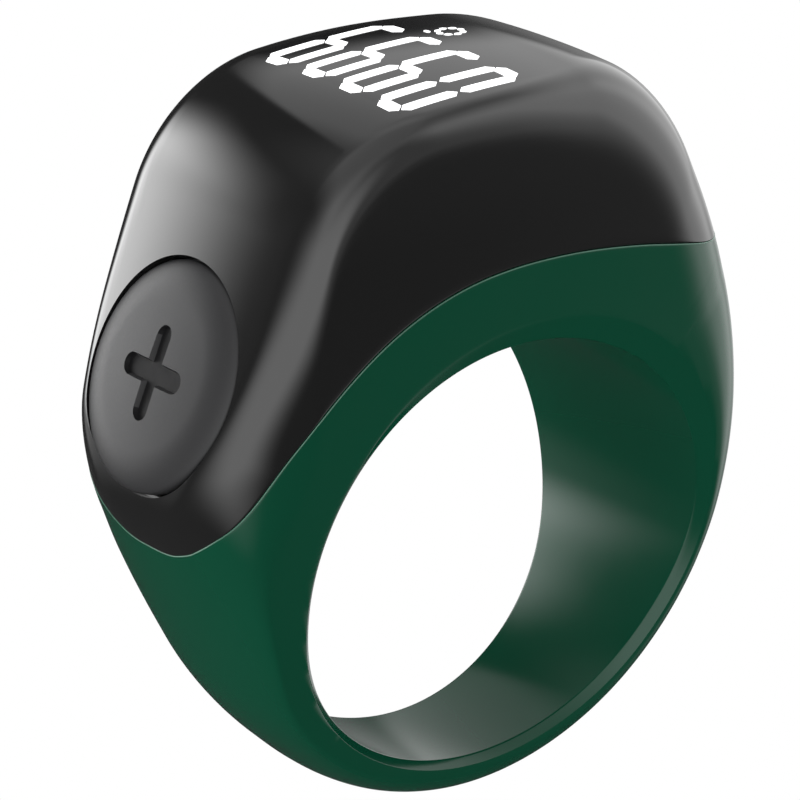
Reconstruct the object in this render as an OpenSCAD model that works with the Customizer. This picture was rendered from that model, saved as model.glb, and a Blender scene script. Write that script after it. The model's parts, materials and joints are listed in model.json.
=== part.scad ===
// Finger-worn tally counter: a moulded ring band with a sealed electronics head.
// The finger bore runs along Y through the origin, the display faces +Z, and the
// count button looks out of the head on the -X side.

/* [Finger bore] */
// Inside diameter of the band, the ring size
bore_d = 20; // [18:0.5:22]
// Radial width of the comfort chamfer at the bore's edge, halfway up
bore_chamfer_w = 0.72; // [0.55:0.01:0.85]
// How much that width grows at the top and shrinks at the foot
bore_chamfer_sway = 0.32; // [0:0.01:0.35]
// Depth of the comfort chamfer along the bore
bore_chamfer_h = 0.5; // [0.2:0.05:0.6]

/* [Band] */
// Thickness of the band under the finger
band_wall = 2.05; // [1.8:0.05:2.6]
// Angle below the horizontal where the band's round meets the left chin
left_skirt = 25; // [20:1:32]
// Angle below the horizontal where the band's round meets the right flank
right_skirt = 15.7; // [10:0.1:20]
// Half width of the band at its foot
foot_half_w = 3; // [2.8:0.05:3.8]
// Half width halfway down from the bore's centre
calf_half_w = 4.3; // [4:0.05:4.8]
// Half width at the height of the bore's centre
waist_half_w = 5.9; // [5.5:0.05:6.3]
// Half width halfway up from the bore's centre
hip_half_w = 6.95; // [6.6:0.05:7.2]
// Largest half width, at the shoulder above the bore
shoulder_half_w = 7.5; // [7.3:0.05:8]
// Half width at the top face
crown_half_w = 7.15; // [7:0.05:7.5]

/* [Head] */
// Height of the top face above the bore's wall
head_rise = 11.2; // [10.8:0.1:12.5]
// Depth of the button face outside the bore's wall
left_rise = 6.45; // [6.2:0.05:7]
// Depth of the right flank outside the bore's wall
right_rise = 5.9; // [5.7:0.1:6.8]
// Lean of the button face from the vertical
left_lean = 25.3; // [23:0.1:27]
// Lean of the right flank from the vertical
right_lean = 22; // [20:0.5:25]
// Fillet between the button face and the top
left_brow_r = 7.8; // [5:0.1:8]
// Fillet between the right flank and the top
right_brow_r = 6.5; // [5:0.1:8]
// Fillet below the button face
left_chin_r = 7; // [5:0.1:8]
// Round of the right flank down to the band
right_chin_r = 28; // [16:0.5:30]
// Radius of the top face along X
crown_r = 60; // [50:1:90]
// Slope of the top face where its crown ends
crown_tilt = 3.5; // [2.5:0.5:4.5]
// Angle at which both sides draw in towards the button
side_taper = 1.2; // [0:0.1:2.5]
// Fall of every outer face from its middle to its sides
side_crown = 0.35; // [0.2:0.05:0.5]

/* [Walls] */
// Wall of the head shell
shell_wall = 1.3; // [1.1:0.05:1.4]
// Green wall between the bore and the inside of the head
cradle_floor = 1.2; // [1:0.05:1.3]
// Radius of the parting line round the bore, from the bore's wall
seam_rise = 3.45; // [3.2:0.05:3.7]
// Gap of the parting line
seam_gap = 0.05; // [0.03:0.01:0.1]
// Half width of the room inside the head
room_half_w = 5.7; // [5.6:0.05:5.8]
// Half width of the pockets beside the bore
pocket_half_w = 4.3; // [4.2:0.05:4.5]

/* [Count button] */
// Diameter of the button's cap
button_d = 9.9; // [9.4:0.1:10]
// Radial clearance round the cap
button_gap = 0.12; // [0.08:0.02:0.16]
// How far the cap's centre sits up the face from the bore's level
button_shift = 3.26; // [3:0.02:3.5]
// How far the rim of the cap stands out of the face
button_stand = 0.1; // [0:0.01:0.15]
// Height of the cap's dome over its rim
button_dome = 0.25; // [0.1:0.05:0.3]
// Thickness of the cap at its rim
button_t = 0.95; // [0.8:0.05:1]
// Length of the plus sign's two arms
plus_len = 4.2; // [3:0.1:5]
// Width of the plus sign's arms
plus_w = 1; // [0.6:0.1:1.2]
// How deep the plus sign is sunk into the button
plus_depth = 0.24; // [0.15:0.01:0.3]
// Travel of the button
button_travel = 0.3; // [0.2:0.05:0.35]
// Radius of the button's stem
stem_r = 1.5; // [1.3:0.05:1.6]
// Running clearance of the stem and of the switch plunger
slide_gap = 0.05; // [0.03:0.01:0.08]

/* [Display] */
// Size of the display glass along X
panel_x = 9.2; // [8.8:0.1:9.4]
// Size of the display glass along Y
panel_y = 10.9; // [10.4:0.1:11]
// Thickness of the display glass
panel_t = 1.2; // [1:0.1:1.4]

/* [Electronics] */
// Size of the cell along X
cell_x = 10.2; // [9.6:0.1:10.4]
// Size of the cell along Y
cell_y = 10.6; // [10:0.1:10.8]
// Thickness of the cell
cell_t = 3; // [2.6:0.1:3.1]
// Thickness of the main board
board_t = 0.8; // [0.6:0.1:0.9]
// Outside diameter of the vibration motor
motor_d = 4; // [3.6:0.1:4.1]
// Length of the vibration motor's case
motor_len = 5.2; // [4.8:0.1:5.4]
// Place of the motor round the bore, from +X
motor_angle = 50; // [48:1:52]

/* [Hidden] */

// Overrun of every cut
cut = 0.2;
// Gap between flat pieces stacked on each other
stack_gap = 0.05;
// Turn of an outline round between two sections
turn_step = 9;
// Longest straight stretch between two sections
span_step = 1.6;
// Turn of a section's corner round between two points
corner_step = 18;
// Places across a side face that get a row of points, as shares of its depth
face_shares = [0, 0.35, 0.7];
// Places between a corner and the middle of the outside, as shares of the way from the middle
crown_shares = [0.5, 0];
// Share of the wall over the chamfer that a corner round may use
corner_wall_share = 0.9;

bore_r = bore_d / 2;
band_r = bore_r + band_wall;
top_d = bore_r + head_rise;
left_d = bore_r + left_rise;
right_d = bore_r + right_rise;
cradle_r = bore_r + cradle_floor;

// Side half widths over the height, from the foot to the top
side_rows = [
    [-band_r, foot_half_w], [-band_r / 2, calf_half_w], [0, waist_half_w],
    [band_r / 2, hip_half_w], [band_r, shoulder_half_w], [top_d, crown_half_w]
];

// Corner rounds of the section, at these angles round the bore from +X:
// each row holds the angle and the round's width along Y and its height, as shares of
// the band's wall
corner_shares = [
    [0, 1.62, 0.65], [60, 2.07, 1.42], [90, 0.7, 0.66], [120, 0.74, 0.57],
    [150, 1.14, 1.84], [178, 3.15, 0.37], [215, 2.1, 0.15], [270, 0.77, 0.5]
];
corner_rows = [
    for (turn = [-1, 0, 1])
        for (row = corner_shares)
            [row[0] + 360 * turn, row[1] * band_wall, row[2] * band_wall]
];

// The parting line's radius at these angles, as shares of its radius over the bore
seam_shares = [
    [36, 1.4], [42.5, 1.31], [50, 1.188], [57, 1.12], [65, 1.072], [73, 1.035],
    [81.5, 1.014], [90, 1.003], [100, 1], [120, 1], [138, 1.003], [149, 1.025],
    [154, 1.045], [159, 1.068], [162.6, 1.092], [165.5, 1.11], [168, 1.117],
    [170.3, 1.12], [172, 1.17], [174, 1.3]
];
// Turn of the parting line between two of its points
seam_step = 4;
// How far the parting tool reaches past the head
seam_reach = 10;

// Largest fillet from the band's round to a flank at angle a and distance d
function chin_limit(a, d) = (d - band_r * cos(a)) / (1 - cos(a));
function left_chin() = min(left_chin_r, chin_limit(left_skirt + left_lean, left_d));
function right_chin() = min(right_chin_r, chin_limit(right_skirt + right_lean, right_d));

// Outer faces round the section, anticlockwise from +X: the angle of the face's
// normal, its distance from the bore's axis, and the fillet to the next face
function outer_faces(inset) = [
    [right_lean, right_d - inset, right_brow_r - inset],
    [90 - crown_tilt, top_d - inset, crown_r - inset],
    [90 + crown_tilt, top_d - inset, left_brow_r - inset],
    [180 - left_lean, left_d - inset, left_chin() - inset],
    [180 + left_skirt, band_r - inset, band_r - inset],
    [360 - right_skirt, band_r - inset, right_chin() - inset]
];

function fillet_centre(a, b, r) = [
    ((a[1] - r) * sin(b[0]) - (b[1] - r) * sin(a[0])) / sin(b[0] - a[0]),
    ((b[1] - r) * cos(a[0]) - (a[1] - r) * cos(b[0])) / sin(b[0] - a[0])
];

function fillet_points(a, b, r) =
    let (centre = fillet_centre(a, b, r), turn = b[0] - a[0])
    let (steps = max(ceil(turn / turn_step), ceil(r * turn * PI / 180 / span_step)))
    [
        for (i = [0:steps])
            let (t = a[0] + turn * i / steps)
            centre + r * [cos(t), sin(t)]
    ];

// The outline in the XZ plane, drawn in by inset
function outline(inset) =
    let (faces = outer_faces(inset), n = len(faces))
    [
        for (i = [0:n - 1])
            let (a = faces[i], next = faces[(i + 1) % n])
            let (b = [next[0] + (i == n - 1 ? 360 : 0), next[1]])
            each fillet_points(a, b, a[2])
    ];

// Long straight stretches of an outline are divided
function divided(points) =
    let (n = len(points))
    [
        for (i = [0:n - 1])
            let (a = points[i], b = points[(i + 1) % n])
            let (parts = max(1, ceil(norm(b - a) / span_step)))
            for (k = [0:parts - 1])
                a + (b - a) * k / parts
    ];

// Greatest height of an outline at place x
function height_at(points, x) =
    let (n = len(points))
    max([
        for (i = [0:n - 1])
            let (a = points[i], b = points[(i + 1) % n])
            if (min(a[0], b[0]) <= x && x < max(a[0], b[0]))
                a[1] + (b[1] - a[1]) * (x - a[0]) / (b[0] - a[0])
    ]);

// Smooth curve through a table's rows at place t, for one column
function row_slope(rows, i, col) =
    let (a = max(i - 1, 0), b = min(i + 1, len(rows) - 1))
    (rows[b][col] - rows[a][col]) / (rows[b][0] - rows[a][0]);

function row_index(rows, t) =
    min(len(rows) - 2, max(0, len([for (row = rows) if (row[0] <= t) row]) - 1));

function smooth(rows, t, col) =
    let (i = row_index(rows, t), span = rows[i + 1][0] - rows[i][0])
    let (u = min(1, max(0, (t - rows[i][0]) / span)))
    let (p = rows[i][col], q = rows[i + 1][col])
    let (m = row_slope(rows, i, col) * span, n = row_slope(rows, i + 1, col) * span)
    p * (1 + 2 * u) * pow(1 - u, 2) + m * u * pow(1 - u, 2)
        + q * u * u * (3 - 2 * u) - n * u * u * (1 - u);

// Half width at radius r in direction t
function half_width(r, t) = smooth(side_rows, r * sin(t), 1) + r * cos(t) * tan(side_taper);

// One half of the section through an outline point: [radius, y] from the bore outwards
function half_section(p) =
    let (ro = norm(p), t = atan2(p[1], p[0]))
    let (chamfer_w = bore_chamfer_w + bore_chamfer_sway * sin(t))
    let (slope = bore_chamfer_h / chamfer_w)
    let (w = half_width(ro, t))
    let (corner_w = min(smooth(corner_rows, t, 1), corner_wall_share * w))
    let (room = corner_wall_share * (ro - bore_r - chamfer_w) - side_crown)
    let (corner_h = min(smooth(corner_rows, t, 2), room))
    let (face_in = bore_r + chamfer_w, face_out = ro - corner_h - side_crown)
    let (edge_w = half_width(face_in, t))
    concat(
        [[bore_r - cut, edge_w - slope * (chamfer_w + cut)]],
        [
            for (s = face_shares)
                let (r = face_in + (face_out - face_in) * s)
                [r, half_width(r, t)]
        ],
        [
            for (a = [0:corner_step:90])
                let (r = ro - corner_h * (1 - sin(a)))
                let (y = half_width(r, t) - corner_w * (1 - cos(a)))
                [r - side_crown * pow(y / w, 2), y]
        ],
        [
            for (s = crown_shares)
                let (y = s * (w - corner_w))
                [ro - side_crown * pow(y / w, 2), y]
        ]
    );

function whole_section(p) =
    let (half = half_section(p), n = len(half), t = atan2(p[1], p[0]))
    [
        for (i = [0:2 * n - 2])
            let (q = half[i < n ? i : 2 * n - 2 - i], side = i < n ? -1 : 1)
            [q[0] * cos(t), side * q[1], q[0] * sin(t)]
    ];

// The outer form: sections lofted once round the bore
module outer_form() {
    stations = divided(outline(0));
    sections = [for (p = stations) whole_section(p)];
    n = len(sections);
    m = len(sections[0]);
    points = [for (s = sections) each s];
    faces = [
        for (i = [0:n - 1])
            for (j = [0:m - 1])
                let (a = i * m + j, b = i * m + (j + 1) % m)
                let (c = ((i + 1) % n) * m + j, d = ((i + 1) % n) * m + (j + 1) % m)
                each [[a, d, b], [a, c, d]]
    ];
    polyhedron(points, faces, convexity = 6);
}

// A prism along Y of a flat shape drawn in XZ
module across(half_w) {
    rotate([90, 0, 0]) linear_extrude(height = 2 * half_w, center = true) children();
}

function seam_point(t, gap) =
    ((bore_r + seam_rise) * smooth(seam_shares, t, 1) + gap) * [cos(t), sin(t)];

// The space outside the parting line, where the head shell is
module above_seam(gap) {
    first = seam_shares[0][0];
    last = seam_shares[len(seam_shares) - 1][0];
    steps = ceil((last - first) / seam_step);
    line = [for (i = [0:steps]) seam_point(first + (last - first) * i / steps, gap)];
    far = top_d + seam_reach;
    across(shoulder_half_w + seam_reach) polygon(concat(line, [
        [-far, line[steps][1]], [-far, far], [far, far], [far, line[0][1]]
    ]));
}

// Heights of the pieces stacked on the ledges beside the cradle
cell_pad_t = 0.3;
insulator_t = 0.2;
cell_pad_z = cradle_r + stack_gap;
cell_z = cell_pad_z + cell_pad_t + stack_gap;
insulator_z = cell_z + cell_t + stack_gap;
board_z = insulator_z + insulator_t + stack_gap;
board_top = board_z + board_t;

// Heights of the pieces stacked under the top skin
gasket_t = 0.2;
gasket_w = 0.9;
carrier_t = 0.5;
ceiling = outline(shell_wall);
ceiling_z = min(height_at(ceiling, -panel_x / 2), height_at(ceiling, panel_x / 2));
gasket_z = ceiling_z - stack_gap - gasket_t;
panel_z = gasket_z - stack_gap - panel_t;
carrier_z = panel_z - stack_gap - carrier_t;

// Lowest level of the pockets left and right of the bore
left_pocket_z = 3.4;
right_pocket_z = 7.4;

module room_outline() {
    polygon(ceiling);
}

// The room inside the head and the pockets beside the bore
module room() {
    reach = top_d + seam_reach;
    across(room_half_w) intersection() {
        room_outline();
        translate([-reach, cradle_r]) square([2 * reach, reach]);
    }
    across(pocket_half_w) difference() {
        intersection() {
            room_outline();
            union() {
                translate([-reach, left_pocket_z])
                    square([reach, cradle_r + cut - left_pocket_z]);
                translate([0, right_pocket_z])
                    square([reach, cradle_r + cut - right_pocket_z]);
            }
        }
        circle(r = cradle_r, $fn = 120);
    }
}

// Frame of the button: Z out along its axis from the face, X up the face
module at_button() {
    rotate([0, left_lean - 90, 0]) translate([button_shift, 0, left_d]) children();
}

// Levels along the button's axis, below the face
button_r = button_d / 2;
rim_z = button_stand;
cap_under_z = rim_z - button_t;
well_z = cap_under_z - button_travel - slide_gap;
web_t = 0.75;
web_z = well_z - web_t;
stem_len = 1.8;
stem_end_z = cap_under_z - stem_len;
clip_t = 0.3;
clip_z = web_z - 2 * slide_gap - clip_t;
clip_r = 2.2;
groove_r = 1.15;
seal_w = 0.6;
plunger_r = 0.8;
plunger_rise = 0.5;
plunger_depth = 0.35;
plunger_z = stem_end_z - slide_gap;
switch_w = 3.4;
switch_t = 0.95;
switch_top_z = plunger_z - plunger_rise;
switch_z = switch_top_z - switch_t;
switch_board_t = 0.5;
switch_board_z = switch_z - stack_gap - switch_board_t;
switch_board_low = -3;
switch_board_high = 3.3;
switch_board_half_w = 3.2;
boss_rim = 0.7;

// A round post standing on the ledges beside the cradle
post_r = 0.6;
post_inset = 0.15;
post_x = cell_x / 2 + post_r + post_inset;
post_y = room_half_w - post_r - post_inset;
module board_posts() {
    for (x = [-post_x, post_x])
        for (y = [-post_y, post_y])
            translate([x, y, cradle_r - cut])
                cylinder(r = post_r, h = board_z - stack_gap - cradle_r + cut, $fn = 32);
}

// Seat moulded under the switch board
seat_half_x = 2.5;
seat_half_y = 2;
seat_t = 1.6;
module switch_seat() {
    at_button()
        translate([-seat_half_x, -seat_half_y, switch_board_z - stack_gap - seat_t])
            cube([2 * seat_half_x, 2 * seat_half_y, seat_t]);
}

// Place and parts of the vibration motor, whose axis is along Y
motor_r = motor_d / 2;
motor_gap = 0.25;
motor_place_r = cradle_r + motor_r + motor_gap;
motor_x = motor_place_r * cos(motor_angle);
motor_z = motor_place_r * sin(motor_angle);
motor_y = -pocket_half_w + motor_gap;
shaft_r = 0.4;
shaft_len = 2.7;
weight_clear = 0.1;
weight_r = motor_r - weight_clear;
weight_gap = 0.4;
weight_len = 2;
weight_hub_r = 0.85;
saddle_t = 0.8;
saddle_half_turn = 62;

module along_y(x, z, y) {
    translate([x, y, z]) rotate([-90, 0, 0]) children();
}

// Two saddle ribs that carry the motor's case
module motor_saddles() {
    inner = motor_r + stack_gap;
    outer = motor_place_r;
    for (y = [motor_y + motor_gap, motor_y + motor_len - saddle_t - motor_gap])
        along_y(0, 0, y) linear_extrude(height = saddle_t) difference() {
            intersection() {
                circle(r = motor_place_r - shaft_r, $fn = 120);
                polygon([
                    [0, 0],
                    outer * [cos(saddle_half_turn), -sin(saddle_half_turn)],
                    outer * 2 * [cos(motor_angle), -sin(motor_angle)],
                    outer * [cos(2 * motor_angle - saddle_half_turn),
                        -sin(2 * motor_angle - saddle_half_turn)]
                ]);
            }
            translate([motor_x, -motor_z]) circle(r = inner, $fn = 64);
            circle(r = bore_r + cut, $fn = 120);
        }
}

// Gold contacts for the charger, in the wall over the finger
pin_r = 0.75;
pin_y = 2.6;
pin_recess = 0.03;
pin_head_r = 1.1;
pin_head_t = 0.35;
module pin_holes() {
    for (y = [-pin_y, pin_y])
        translate([0, y, bore_r - cut])
            cylinder(r = pin_r + slide_gap, h = cradle_floor + 2 * cut, $fn = 32);
}

module ring_body() {
    color([0.04, 0.27, 0.19])
    difference() {
        union() {
            difference() {
                outer_form();
                above_seam(0);
                room();
            }
            board_posts();
            switch_seat();
            motor_saddles();
        }
        along_y(0, 0, -shoulder_half_w - cut)
            cylinder(r = bore_r, h = 2 * (shoulder_half_w + cut), $fn = 180);
        pin_holes();
    }
}

// Round boss behind the button, inside the head
module button_boss() {
    at_button() translate([0, 0, web_z]) cylinder(r = button_r + boss_rim, h = -web_z, $fn = 96);
}

module head_shell() {
    color([0.06, 0.06, 0.065])
    difference() {
        intersection() {
            difference() {
                outer_form();
                difference() {
                    room();
                    button_boss();
                }
            }
            above_seam(seam_gap);
        }
        at_button() {
            translate([0, 0, well_z])
                cylinder(r = button_r + button_gap, h = button_r - well_z, $fn = 96);
            translate([0, 0, web_z - cut])
                cylinder(r = stem_r + slide_gap + seal_w, h = web_t + 2 * cut, $fn = 64);
        }
    }
}

// A plus sign with round ends, to be sunk into the cap's face
module plus_sign() {
    reach = (plus_len - plus_w) / 2;
    floor_z = rim_z + button_dome - plus_depth;
    translate([0, 0, floor_z]) linear_extrude(height = plus_depth + cut) {
        square([2 * reach, plus_w], center = true);
        square([plus_w, 2 * reach], center = true);
        for (place = [[reach, 0], [-reach, 0], [0, reach], [0, -reach]])
            translate(place) circle(r = plus_w / 2, $fn = 32);
    }
}

// The cap's outline from its axis: a dome, a rolled rim and a flat underside
rim_roll = 0.6;
module count_button() {
    dome_r = (pow(button_r, 2) + pow(button_dome, 2)) / (2 * button_dome);
    dome_z = rim_z + button_dome - dome_r;
    roll_x = button_r - rim_roll;
    roll_z = dome_z + sqrt(pow(dome_r - rim_roll, 2) - pow(roll_x, 2));
    color([0.25, 0.25, 0.26])
    at_button() difference() {
        union() {
            rotate_extrude($fn = 96) intersection() {
                union() {
                    translate([0, cap_under_z]) square([button_r, roll_z - cap_under_z]);
                    translate([0, cap_under_z]) square([roll_x, button_t + button_dome]);
                    translate([roll_x, roll_z]) circle(r = rim_roll, $fn = 32);
                }
                translate([0, dome_z]) circle(r = dome_r, $fn = 480);
                translate([0, cap_under_z]) square([button_d, button_d]);
            }
            translate([0, 0, stem_end_z]) cylinder(r = stem_r, h = stem_len + cut, $fn = 48);
        }
        translate([0, 0, clip_z]) difference() {
            cylinder(r = stem_r + cut, h = clip_t, $fn = 48);
            translate([0, 0, -cut]) cylinder(r = groove_r, h = clip_t + 2 * cut, $fn = 48);
        }
        plus_sign();
    }
}

module stem_seal() {
    color([0.1, 0.1, 0.1])
    at_button() translate([0, 0, web_z]) difference() {
        cylinder(r = stem_r + slide_gap + seal_w, h = web_t, $fn = 64);
        translate([0, 0, -cut]) cylinder(r = stem_r + slide_gap, h = web_t + 2 * cut, $fn = 64);
    }
}

// A split ring in the stem's groove, behind the shell's web
clip_mouth = 1.6;
module stem_clip() {
    color([0.75, 0.76, 0.78])
    at_button() translate([0, 0, clip_z]) difference() {
        cylinder(r = clip_r, h = clip_t, $fn = 64);
        translate([0, 0, -cut]) cylinder(r = groove_r, h = clip_t + 2 * cut, $fn = 48);
        translate([0, -clip_mouth / 2, -cut]) cube([clip_r + cut, clip_mouth, clip_t + 2 * cut]);
    }
}

module switch_case() {
    color([0.15, 0.15, 0.16])
    at_button() difference() {
        translate([-switch_w / 2, -switch_w / 2, switch_z]) cube([switch_w, switch_w, switch_t]);
        translate([0, 0, switch_top_z - plunger_depth - button_travel - slide_gap])
            cylinder(r = plunger_r + slide_gap, h = switch_t, $fn = 48);
    }
}

module switch_plunger() {
    color([0.85, 0.85, 0.8])
    at_button() translate([0, 0, switch_top_z - plunger_depth])
        cylinder(r = plunger_r, h = plunger_rise + plunger_depth, $fn = 48);
}

module switch_board() {
    color([0.05, 0.3, 0.15])
    at_button() translate([switch_board_low, -switch_board_half_w, switch_board_z])
        cube([switch_board_high - switch_board_low, 2 * switch_board_half_w, switch_board_t]);
}

// A strip bent along points in XZ
function strip_side(points, shift) =
    let (last = len(points) - 1)
    [
        for (i = [0:last])
            let (run = points[min(i + 1, last)] - points[max(i - 1, 0)])
            points[i] + shift / norm(run) * [-run[1], run[0]]
    ];

module strip(points, thick, half_w) {
    back = strip_side(points, -thick / 2);
    last = len(points) - 1;
    across(half_w) polygon(concat(
        strip_side(points, thick / 2),
        [for (i = [0:last]) back[last - i]]
    ));
}

flex_t = 0.15;
board_left = -8;
board_right = 8.1;
function button_point(x, z) = [
    left_d * cos(180 - left_lean) + (button_shift + x) * sin(180 - left_lean)
        + z * cos(180 - left_lean),
    left_d * sin(180 - left_lean) - (button_shift + x) * cos(180 - left_lean)
        + z * sin(180 - left_lean)
];
// From the top end of the switch board up to the main board's left end
module switch_flex() {
    foot = button_point(switch_board_high + stack_gap, switch_board_z + switch_board_t / 2);
    rest_z = board_z - stack_gap;
    color([0.75, 0.45, 0.1])
    strip([
        foot, [foot[0] + flex_t * 2, foot[1] + flex_t * 6],
        [board_left + flex_t * 5, rest_z - flex_t * 6], [board_left + flex_t * 5, rest_z]
    ], flex_t, switch_board_half_w / 2);
}

module display_glass() {
    color([0.02, 0.02, 0.03])
    translate([-panel_x / 2, -panel_y / 2, panel_z]) cube([panel_x, panel_y, panel_t]);
}

module display_gasket() {
    color([0.2, 0.2, 0.2])
    translate([0, 0, gasket_z]) linear_extrude(height = gasket_t) difference() {
        square([panel_x, panel_y], center = true);
        square([panel_x - 2 * gasket_w, panel_y - 2 * gasket_w], center = true);
    }
}

// Bracket that holds the display over the main board on four legs
carrier_x = 13.6;
carrier_y = 11.1;
carrier_window = 6;
leg_w = 1;
module display_carrier() {
    color([0.5, 0.5, 0.52])
    difference() {
        union() {
            translate([-carrier_x / 2, -carrier_y / 2, carrier_z])
                cube([carrier_x, carrier_y, carrier_t]);
            for (x = [-1, 1])
                for (y = [-1, 1])
                    translate([
                        x * (carrier_x - leg_w) / 2 - leg_w / 2,
                        y * (carrier_y - leg_w) / 2 - leg_w / 2,
                        board_top + stack_gap
                    ])
                        cube([leg_w, leg_w, carrier_z - board_top]);
        }
        translate([-carrier_window / 2, -carrier_window / 2, carrier_z - cut])
            cube([carrier_window, carrier_window, carrier_t + 2 * cut]);
    }
}

// From the edge of the display round the bracket down to the main board
flex_half_w = 2.4;
module display_flex() {
    start = [panel_x / 2 + stack_gap, panel_z + panel_t / 2];
    side_x = carrier_x / 2 + stack_gap + flex_t;
    color([0.75, 0.45, 0.1])
    strip([
        start, [start[0] + flex_t * 3, start[1] + flex_t],
        [side_x, panel_z + stack_gap], [side_x + flex_t, carrier_z],
        [side_x, board_top + flex_t * 4], [side_x, board_top + stack_gap]
    ], flex_t, flex_half_w);
}

board_y = 10.8;
module main_board() {
    color([0.05, 0.3, 0.15])
    translate([board_left, -board_y / 2, board_z])
        cube([board_right - board_left, board_y, board_t]);
}

// A chip standing on the main board, placed by its centre
module chip(x, y, size) {
    translate([x - size[0] / 2, y - size[1] / 2, board_top + stack_gap]) cube(size);
}

processor_size = [4, 4, 0.85];
processor_place = [-2.9, -1.7];
module processor_chip() {
    color([0.1, 0.1, 0.11]) chip(processor_place[0], processor_place[1], processor_size);
}

memory_size = [2, 3, 0.6];
memory_place = [1.4, -2.2];
module memory_chip() {
    color([0.1, 0.1, 0.11]) chip(memory_place[0], memory_place[1], memory_size);
}

charger_size = [2, 2, 0.75];
charger_place = [-3.2, 3];
module charger_chip() {
    color([0.1, 0.1, 0.11]) chip(charger_place[0], charger_place[1], charger_size);
}

crystal_size = [2, 1.2, 0.5];
crystal_place = [0.6, 1.4];
module clock_crystal() {
    color([0.8, 0.8, 0.82]) chip(crystal_place[0], crystal_place[1], crystal_size);
}

antenna_size = [1.6, 3.2, 1];
antenna_place = [4.2, 0];
module radio_antenna() {
    color([0.85, 0.8, 0.7]) chip(antenna_place[0], antenna_place[1], antenna_size);
}

// A row of capacitors and resistors
component_size = [0.6, 0.3, 0.3];
component_pitch = 1;
component_count = 5;
component_x = -0.6;
component_row_y = [3.2, 4.2];
module small_components() {
    color([0.6, 0.5, 0.35])
    for (i = [0:component_count - 1])
        for (y = component_row_y)
            chip(component_x + i * component_pitch, y, component_size);
}

module board_insulator() {
    color([0.85, 0.65, 0.2])
    translate([-cell_x / 2, -cell_y / 2, insulator_z]) cube([cell_x, cell_y, insulator_t]);
}

cell_round = 0.6;
module cell() {
    color([0.7, 0.72, 0.75])
    translate([0, 0, cell_z + cell_t / 2]) rotate([90, 0, 0])
        linear_extrude(height = cell_y, center = true) union() {
            square([cell_x, cell_t - 2 * cell_round], center = true);
            square([cell_x - 2 * cell_round, cell_t], center = true);
            for (x = [-1, 1])
                for (z = [-1, 1])
                    translate([x * (cell_x / 2 - cell_round), z * (cell_t / 2 - cell_round)])
                        circle(r = cell_round, $fn = 32);
        }
}

tab_w = 1.2;
tab_y = 2;
module cell_tabs() {
    color([0.8, 0.78, 0.7])
    for (y = [-tab_y, tab_y])
        translate([cell_x / 2 + stack_gap, y - tab_w / 2, cell_z + cell_t / 2])
            cube([flex_t, tab_w, board_z - stack_gap - cell_z - cell_t / 2]);
}

module cell_pad() {
    color([0.3, 0.3, 0.3])
    difference() {
        translate([-cell_x / 2, -cell_y / 2, cell_pad_z]) cube([cell_x, cell_y, cell_pad_t]);
        for (y = [-pin_y, pin_y])
            translate([0, y, cell_pad_z - cut])
                cylinder(r = pin_head_r + stack_gap, h = cell_pad_t + 2 * cut, $fn = 48);
    }
}

module motor_case() {
    color([0.75, 0.76, 0.78])
    along_y(motor_x, motor_z, motor_y) difference() {
        cylinder(r = motor_r, h = motor_len, $fn = 64);
        translate([0, 0, motor_len - motor_gap * 2])
            cylinder(r = shaft_r + slide_gap, h = motor_len, $fn = 32);
    }
}

module motor_shaft() {
    color([0.8, 0.8, 0.82])
    along_y(motor_x, motor_z, motor_y + motor_len - motor_gap)
        cylinder(r = shaft_r, h = shaft_len, $fn = 32);
}

// Half-round weight with its hub, pressed on the shaft
module motor_weight() {
    color([0.55, 0.55, 0.56])
    along_y(motor_x, motor_z, motor_y + motor_len + weight_gap)
        linear_extrude(height = weight_len) difference() {
            union() {
                intersection() {
                    circle(r = weight_r, $fn = 64);
                    translate([-motor_d, 0]) square([2 * motor_d, motor_d]);
                }
                circle(r = weight_hub_r, $fn = 48);
            }
            circle(r = shaft_r, $fn = 32);
        }
}

// Two flat leads from the motor's closed end to the main board
lead_w = 0.5;
lead_y = 0.6;
module motor_leads() {
    color([0.7, 0.2, 0.1])
    for (y = [-lead_y, lead_y])
        translate([
            motor_x - flex_t / 2, motor_y + motor_len / 3 + y - lead_w / 2,
            motor_z + motor_r + stack_gap
        ])
            cube([flex_t, lead_w, board_z - stack_gap * 2 - motor_z - motor_r]);
}

module charge_pins() {
    color([0.85, 0.65, 0.25])
    for (y = [-pin_y, pin_y])
        translate([0, y, 0]) {
            translate([0, 0, bore_r + pin_recess])
                cylinder(r = pin_r, h = cradle_floor - pin_recess + cell_pad_t / 2, $fn = 32);
            translate([0, 0, cradle_r + stack_gap])
                cylinder(r = pin_head_r, h = pin_head_t - stack_gap * 2, $fn = 48);
        }
}

ring_body();
head_shell();
count_button();
stem_seal();
stem_clip();
switch_case();
switch_plunger();
switch_board();
switch_flex();
display_glass();
display_gasket();
display_carrier();
display_flex();
main_board();
processor_chip();
memory_chip();
charger_chip();
clock_crystal();
radio_antenna();
small_components();
board_insulator();
cell();
cell_tabs();
cell_pad();
motor_case();
motor_shaft();
motor_weight();
motor_leads();
charge_pins();
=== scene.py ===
# %% [markdown]
# # A tally ring, dressed for its photograph
# This ring counts: a green plastic band for the finger, a glossy black head with a display under
# its skin, and a round button on the left. The solids of every part, inside and out, come ready
# made in one shared frame. The lesson gives the three outer mouldings their smooth forms and every
# part its finish, then lights and photographs them.

import json
from math import cos, pi, radians, sin, tan

import bpy
import numpy as np
from mathutils import Matrix, Vector

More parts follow.
